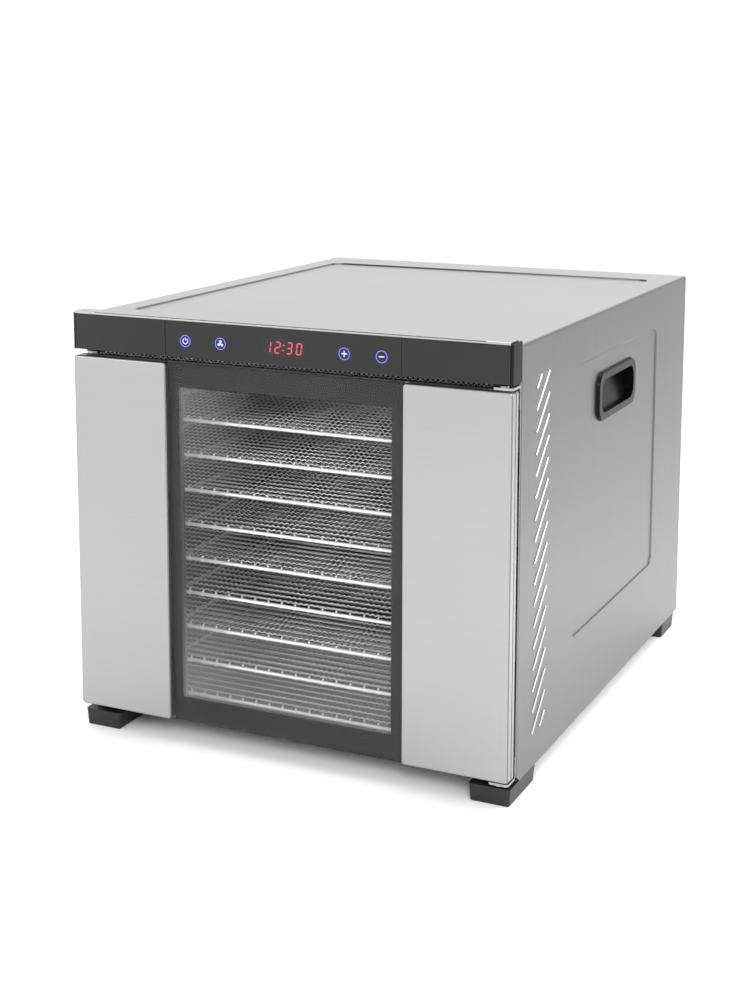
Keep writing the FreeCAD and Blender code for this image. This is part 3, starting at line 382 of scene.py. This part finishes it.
CAD_MATERIALS = {
    CASE: ("outer_shell",),
    CASE_REAR: ("rear_panel",),
    DOOR_STEEL: ("door_stile_left", "door_stile_right", "door_pan"),
    SHADED_INNER: ("base_pan", "front_frame", "chamber_wall_left", "chamber_wall_right", "chamber_floor",
            "chamber_ceiling", "chamber_back", "air_baffle", "tray_rack_left", "tray_rack_right"),
    ZINC: ("foot_screws", "rear_screws", "motor_shaft", "hub_nut", "temperature_probe", "hinge_bracket_upper",
           "hinge_bracket_lower", "hinge_pins", "strike_plates"),
    HEATER: ("heating_element",),
    MOTOR: ("fan_motor", "thermal_cutout"),
    ALUMINIUM: ("fan_impeller",),
    BLACK: ("vent_grille", "feet_front", "feet_rear", "power_inlet", "board_components", "wiring",
            "door_magnets", "display_module"),
    GRIP: ("side_handle_left", "side_handle_right"),
    CAP: ("fascia_caps",),
    GLOSS: ("control_fascia", "touch_panel"),
    DARK: ("window_frame",),
    WHITE: ("board_spacers", "hinge_bushes"),
    GASKET: ("door_gasket",),
    GREEN: ("display_board", "power_board"),
    BRASS: ("inlet_pins",),
    GLASS: ("door_glass",),
}
for material, names in CAD_MATERIALS.items():
    for name in names:
        NODES[name].data.materials.clear()
        NODES[name].data.materials.append(material)


# ---- trays ----
TRAY_ROD = 1.75 * MM          # radius of the rim's rod
CROSS_ROD = 0.75 * MM         # radius of the two rods under the wires
CROSS_INSET = 132 * MM        # from the rim's front and rear
CROSS_DROP = 1 * MM           # below the rim's middle
ROW_WIRE = 0.54 * MM          # radius of the wires that run left to right
LONG_WIRE = 0.18 * MM         # radius of the thinner wires that run front to rear
ROW_PITCH = 12.8 * MM
LONG_PITCH = 2.8 * MM
WAVE = 0.92 * MM              # how far a crimped wire rises and falls
CORNER = 12 * MM              # rim's bend, to the rod's middle
TIE_RADIUS = 0.55 * MM        # wire ends wrapped round the rim
TIE_STEP = 5                  # every so many thin wires have a wrapped end
END_RADIUS = 0.75 * MM        # doubled end that arches back over the rim
END_RISE = 1.6 * MM
END_REACH = 2.4 * MM


def tray_outline(half, front, rear):
    """Rim's centre line in the tray's own plane."""
    y_mid, y_half = (front + rear) / 2, (rear - front) / 2
    return [Vector((x, y_mid + y, 0)) for x, y in rounded(-half, half, -y_half, y_half, CORNER, 7)]


def mesh_wires(bm, half, front, rear):
    """Crimped wires from left to right, held by thinner straight ones from front to rear."""
    x_count = round(2 * half / LONG_PITCH)
    y_count = round((rear - front) / ROW_PITCH)
    x_step, y_step = 2 * half / x_count, (rear - front) / y_count
    xs = [-half + x_step * k for k in range(x_count + 1)]
    ys = [front + y_step * k for k in range(y_count + 1)]
    base = TRAY_ROD - ROW_WIRE - WAVE
    for j, y in enumerate(ys[1:-1]):
        points = [Vector((x, y, base + WAVE * (1 if (i + j) % 2 else -1))) for i, x in enumerate(xs)]
        add_tube(bm, points, ROW_WIRE, 5)
    for x in xs[1:-1]:
        points = [Vector((x, y, base)) for y in (front, rear)]
        # finish 1 is the long wires' near-black steel: painted shade
        add_tube(bm, points, LONG_WIRE, 4, finish=1)
    return xs, ys


def wire_ties(bm, xs, ys, half, front, rear):
    """Ends of the thicker wires and of some thin ones, wrapped round the rim rod."""
    around = [2 * math.pi * k / 10 for k in range(10)]
    reach = TRAY_ROD + TIE_RADIUS * 0.6
    for x in xs[TIE_STEP:1 - TIE_STEP:TIE_STEP]:
        for y in (front, rear):
            loop = [Vector((x, y + reach * math.cos(a), reach * math.sin(a))) for a in around]
            add_tube(bm, loop, TIE_RADIUS, 5, closed=True)
            inward = END_REACH if y == front else -END_REACH
            arch = [Vector((x, y, reach)), Vector((x, y + inward * 0.5, reach + END_RISE)),
                    Vector((x, y + inward, reach * 0.5))]
            add_tube(bm, arch, END_RADIUS, 6)
    for y in ys[2:-1]:
        for x in (-half, half):
            loop = [Vector((x + reach * math.cos(a), y, reach * math.sin(a))) for a in around]
            add_tube(bm, loop, TIE_RADIUS, 5, closed=True)


def tray_mesh():
    """One tray, with its rim's middle at height 0."""
    low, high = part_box("tray_01")
    half, front, rear = high.x - TRAY_ROD, low.y + TRAY_ROD, high.y - TRAY_ROD
    bm = bmesh.new()
    add_tube(bm, tray_outline(half, front, rear), TRAY_ROD, 12, closed=True)
    for y in (front + CROSS_INSET, rear - CROSS_INSET):
        add_tube(bm, [Vector((-half, y, -CROSS_DROP)), Vector((half, y, -CROSS_DROP))], CROSS_ROD, 8)
    xs, ys = mesh_wires(bm, half, front, rear)
    wire_ties(bm, xs, ys, half, front, rear)
    return mesh_from("woven_tray", bm)


def build_trays():
    """Ten woven trays that share one mesh."""
    mesh = tray_mesh()
    mesh.materials.append(WIRE)
    mesh.materials.append(SHADED_LONG_WIRE)
    for name in sorted(n for n in NODES if n.startswith("tray_") and n[5:].isdigit()):
        low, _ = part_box(name)
        piece = bpy.data.objects.new("woven_" + name, mesh)
        bpy.context.scene.collection.objects.link(piece)
        piece.location.z = low.z + TRAY_ROD
        bpy.context.view_layer.update()
        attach(piece, "shelf" + name[4:])
        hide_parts(name)


# ---- window border ----
def build_border():
    """Printed border on the back of the glass."""
    low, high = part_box("door_glass")
    y = high.y + 0.02 * MM
    outer = rounded(low.x, high.x, low.z, high.z, 0.5 * MM)
    inner = rounded(-WINDOW_HALF, WINDOW_HALF, WINDOW_LOW, WINDOW_HIGH, 0.8 * MM)
    bm = bmesh.new()
    add_ring_plate(bm, outer, inner, y, y + 0.1 * MM)
    link("glass_border", mesh_from("glass_border", bm, False), BORDER, "door")


# ---- vent strip ----
def build_vent():
    """Expanded metal over the vent: three zigzag strands."""
    low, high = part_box("vent_grille")
    y, step, radius, swing = low.y - 0.32 * MM, 2.3 * MM, 0.30 * MM, 0.75 * MM
    count = int((high.x - low.x - 4 * MM) / step)
    bm = bmesh.new()
    for row, z in enumerate((low.z + 1.6 * MM, (low.z + high.z) / 2, high.z - 1.6 * MM)):
        points = [Vector((low.x + 2 * MM + step * k, y, z + (swing if (k + row) % 2 else -swing)))
                  for k in range(count + 1)]
        add_tube(bm, points, radius, 5)
    link("vent_strands", mesh_from("vent_strands", bm), WIRE, "case")


# ---- fascia print ----
PRINT_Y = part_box("touch_panel")[0].y
PRINT_DEPTH = 0.04 * MM
KEY_Z = 379.6 * MM
KEY_RADIUS = 5.4 * MM
KEY_LINE = 0.7 * MM
KEY_PLACES = [x * MM for x in (-94.6, -58.7, 62.6, 97.6)]
KEY_BLUE = glow("key_blue", (0.10, 0.11, 0.62), 1.0)
KEY_WHITE = glow("key_white", (0.30, 0.34, 0.85), 1.0)
LED_RED = glow("led_red", (0.50, 0.03, 0.065), 1.0)
LED_OFF = plastic("display_window", (0.012, 0.011, 0.011), 0.30, specular=0.36)


def printed(name, shapes, material):
    """Thin print on the touch panel from outlines, or pairs of outlines for rings."""
    bm = bmesh.new()
    for shape in shapes:
        if isinstance(shape[0], list):
            add_ring_plate(bm, shape[0], shape[1], PRINT_Y - PRINT_DEPTH, PRINT_Y)
        else:
            add_plate(bm, shape, PRINT_Y - PRINT_DEPTH, PRINT_Y)
    link(name, mesh_from(name, bm, False), material, "case")


def bar(x, z, width, height):
    """Upright rectangle by its middle."""
    return [(x - width / 2, z - height / 2), (x + width / 2, z - height / 2),
            (x + width / 2, z + height / 2), (x - width / 2, z + height / 2)]


def arc_band(x, z, radius, width, start, turn):
    """Curved stroke as one outline."""
    a = circle(x, z, radius + width / 2, 14, math.radians(start), math.radians(turn))
    b = circle(x, z, radius - width / 2, 14, math.radians(start), math.radians(turn))
    return a + b[::-1]


def build_keys():
    """Four generic touch symbols: power, fan, plus and minus, each in a blue ring."""
    rings = [[circle(x, KEY_Z, KEY_RADIUS), circle(x, KEY_Z, KEY_RADIUS - KEY_LINE)] for x in KEY_PLACES]
    printed("key_rings", rings, KEY_BLUE)
    power, fan, plus, minus = KEY_PLACES
    stroke = 0.9 * MM
    printed("key_power", [arc_band(power, KEY_Z, 2.5 * MM, stroke, 125, 290),
                          bar(power, KEY_Z + 1.9 * MM, stroke, 2.6 * MM)], KEY_WHITE)
    blades = []
    reach = 1.9 * MM
    for k in range(3):
        turn = math.radians(90 + 120 * k)
        blades.append(circle(fan + reach * math.cos(turn), KEY_Z + reach * math.sin(turn), 1.35 * MM, 16))
    printed("key_fan", blades + [circle(fan, KEY_Z, 0.7 * MM, 14)], KEY_WHITE)
    arm = 5.2 * MM
    side = (arm - stroke) / 2
    printed("key_plus", [bar(plus, KEY_Z, stroke * 1.2, arm),
                         bar(plus - stroke * 0.6 - side / 2, KEY_Z, side, stroke * 1.2),
                         bar(plus + stroke * 0.6 + side / 2, KEY_Z, side, stroke * 1.2)], KEY_WHITE)
    printed("key_minus", [bar(minus, KEY_Z, arm, stroke * 1.2)], KEY_WHITE)


# which of the segments a (top), b, c, d (bottom), e, f, g (middle) each digit lights
SEGMENTS = {"0": "abcdef", "1": "bc", "2": "abged", "3": "abgcd"}
DIGIT_WIDTH, DIGIT_HEIGHT, STROKE = 5.6 * MM, 10.6 * MM, 1.15 * MM
SLANT = math.tan(math.radians(7))


def segment(x, z, letter):
    """One slanted six-cornered bar of a digit whose middle is x, z."""
    w, h, t = DIGIT_WIDTH / 2 - STROKE / 2, DIGIT_HEIGHT / 2 - STROKE / 2, STROKE / 2
    gap = 0.18 * MM
    flat = {"a": (0, h), "g": (0, 0), "d": (0, -h)}
    tall = {"f": (-w, h / 2), "b": (w, h / 2), "e": (-w, -h / 2), "c": (w, -h / 2)}
    if letter in flat:
        cx, cz = flat[letter]
        r = w - gap
        points = [(-r, 0), (t - r, -t), (r - t, -t), (r, 0), (r - t, t), (t - r, t)]
    else:
        cx, cz = tall[letter]
        r = h / 2 - gap
        points = [(0, -r), (t, t - r), (t, r - t), (0, r), (-t, r - t), (-t, t - r)]
    return [(x + cx + px + (cz + pz) * SLANT, z + cz + pz) for px, pz in points]


def build_display():
    """Four red digits with a colon, over a dark display window."""
    middle, z = 4.3 * MM, 380.4 * MM
    step = 9.3 * MM
    xs = [middle + step * k for k in (-1.62, -0.62, 0.62, 1.62)]
    bm = bmesh.new()
    add_plate(bm, rounded(middle - 21 * MM, middle + 21 * MM, z - 7.5 * MM, z + 7.5 * MM, 0.8 * MM),
              PRINT_Y - 0.01 * MM, PRINT_Y)
    link("display_window", mesh_from("display_window", bm, False), LED_OFF, "case")
    lit = [segment(x, z, letter) for x, digit in zip(xs, "1230") for letter in SEGMENTS[digit]]
    lit += [circle(middle + dz * SLANT, z + dz, 0.75 * MM, 14) for dz in (-2.3 * MM, 2.3 * MM)]
    printed("display_digits", lit, LED_RED)


build_trays()
build_border()
build_vent()
build_keys()
build_display()


# ---- smooth shading on the CAD pieces ----
for node in NODES.values():
    if not node.hide_render:
        for polygon in node.data.polygons:
            polygon.use_smooth = True
        modifier = node.modifiers.new("flat_faces", "WEIGHTED_NORMAL")
        modifier.keep_sharp = True
        node.data.set_sharp_from_angle(angle=math.radians(28))


# ---- floor, lights and camera ----
def build_floor():
    """Plain pale floor."""
    bm = bmesh.new()
    bmesh.ops.create_grid(bm, x_segments=1, y_segments=1, size=60)
    floor = bpy.data.objects.new("floor", mesh_from("floor", bm))
    floor.location.z = -0.0002
    bpy.context.scene.collection.objects.link(floor)
    m = Nodes("floor_pale")
    m.wire(m.mix(m.spread(m.noise(2.0), 0, 1), grey(0.92), grey(0.93)), m.shader.inputs["Base Color"])
    m.set(Roughness=0.7, Specular_IOR_Level=0.2)
    floor.data.materials.append(m.material)


def softbox(name, place, target, size, power):
    """Square area light aimed at a point."""
    data = bpy.data.lights.new(name, "AREA")
    data.shape, data.size, data.energy = "SQUARE", size, power
    lamp = bpy.data.objects.new(name, data)
    lamp.location = place
    lamp.rotation_euler = (Vector(target) - Vector(place)).to_track_quat("-Z", "Y").to_euler()
    lamp.visible_camera = False
    bpy.context.scene.collection.objects.link(lamp)


def build_lights():
    """Pale surroundings with soft lights from the front, the side and the top."""
    world = bpy.data.worlds.new("studio")
    world.use_nodes = True
    background = world.node_tree.nodes["Background"]
    background.inputs["Color"].default_value = (1, 1, 1, 1)
    background.inputs["Strength"].default_value = 1.12
    bpy.context.scene.world = world
    bpy.context.scene.view_settings.view_transform = "Standard"
    softbox("key", (1.1, -2.2, 1.5), (0, -0.2, 0.2), 0.8, 33)
    softbox("fill", (-1.3, -2.0, 0.8), (0, -0.2, 0.2), 0.8, 7)
    softbox("side", (0.75, 0.10, 0.50), (0.28, 0.05, 0.0), 0.35, 2.5)
    softbox("top", (0.1, 0.35, 1.9), (0.1, 0.35, 0.0), 1.2, 24)


def build_camera():
    """Camera at eye height to the right of the front, turned down a little."""
    data = bpy.data.cameras.new("camera")
    data.sensor_width = 36.0
    data.lens = 59.83
    data.shift_x, data.shift_y = 0.0181, -0.18
    camera = bpy.data.objects.new("camera", data)
    yaw, pitch = math.radians(25.696), math.radians(8.44)
    back = Vector((math.sin(yaw) * math.cos(pitch), -math.cos(yaw) * math.cos(pitch), math.sin(pitch)))
    camera.location = (0.6749, -1.5181, 0.6148)
    camera.rotation_euler = (-back).to_track_quat("-Z", "Y").to_euler()
    bpy.context.scene.collection.objects.link(camera)
    bpy.context.scene.camera = camera


build_floor()
build_lights()
build_camera()
